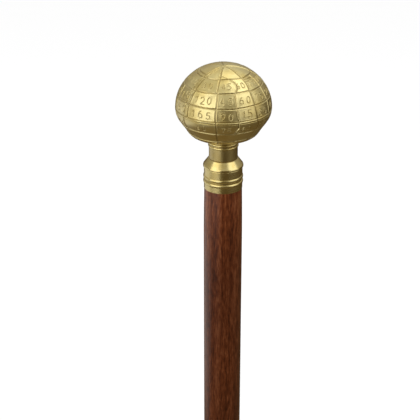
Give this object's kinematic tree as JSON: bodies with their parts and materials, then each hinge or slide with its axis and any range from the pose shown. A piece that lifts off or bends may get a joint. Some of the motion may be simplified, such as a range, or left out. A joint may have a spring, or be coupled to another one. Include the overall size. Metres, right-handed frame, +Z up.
{
  "type": "knob handle walking stick",
  "caption": "Straight wooden walking stick with an unscrewing brass globe knob, a grooved brass collar and a rubber-tipped brass foot.",
  "frame": {"origin": "middle of the rubber tip's ground face", "axes": "+Z up the stick towards the knob; the side facing -Y is the front, from which the engraved lines of longitude are counted"},
  "size_m": [0.0614, 0.0614, 0.914],
  "materials": {
    "globe_brass": "satin, with darker engraved lines",
    "fittings_brass": "turned and polished",
    "hidden_brass": "as machined",
    "stud_steel": "zinc plated",
    "shaft_wood": "satin varnish over a reddish brown hardwood",
    "tip_rubber": "matte black"
  },
  "bodies": {
    "stick": {"shaft": "shaft_wood", "shaft_collar": "fittings_brass", "thread_insert": "hidden_brass", "tip_tube": "fittings_brass", "rubber_plug": "tip_rubber"},
    "stud": {"tie_stud": "stud_steel"},
    "knob": {"globe_cap": "globe_brass", "globe_bowl": "globe_brass", "joint_band": "hidden_brass", "stud_boss": "hidden_brass", "neck_sleeve": "fittings_brass", "bevel_ring": "fittings_brass"}
  },
  "joints": [
    {"name": "knob_rise", "type": "slide", "parent": "stick", "child": "stud", "axis": [0, 0, 1], "range_m": [0, 0.015]},
    {"name": "knob_turn", "type": "hinge", "parent": "stud", "child": "knob", "pos_m": [0, 0, 0.8454], "axis": [0, 0, 1], "range_deg": [0, 3600]}
  ],
  "couplings": [
    {"joint": "knob_rise", "follows": "knob_turn", "m_per_rad": 0.00023873}
  ]
}
